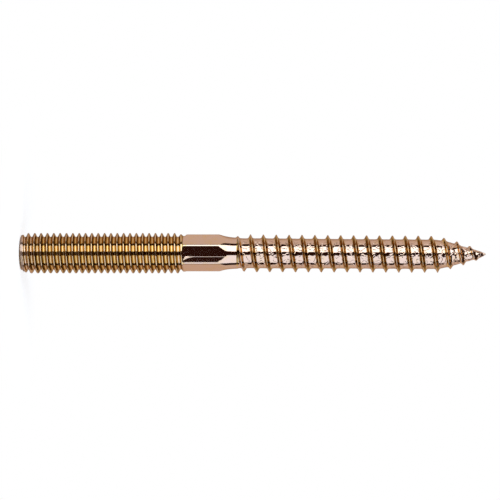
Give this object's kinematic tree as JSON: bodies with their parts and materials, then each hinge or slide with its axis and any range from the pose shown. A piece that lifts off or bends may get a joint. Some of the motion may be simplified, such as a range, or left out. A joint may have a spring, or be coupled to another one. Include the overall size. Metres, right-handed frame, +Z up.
{
  "type": "double end stud",
  "caption": "Double end stud with a metric machine thread, a short hexagonal drive and a coarse wood thread that ends in a gimlet point.",
  "frame": {"origin": "on the stud's axis, at the centre of the machine end face", "axes": "+Z up along the axis, from the machine end that the stud stands on to the tip of the wood thread, -Y out of the flat of the drive that faces the viewer in the picture"},
  "size_m": [0.008, 0.008, 0.091],
  "materials": {
    "yellow_zinc_steel": "yellow passivated zinc plating on rolled steel"
  },
  "bodies": {
    "root": {"stud": "yellow_zinc_steel"}
  },
  "joints": []
}
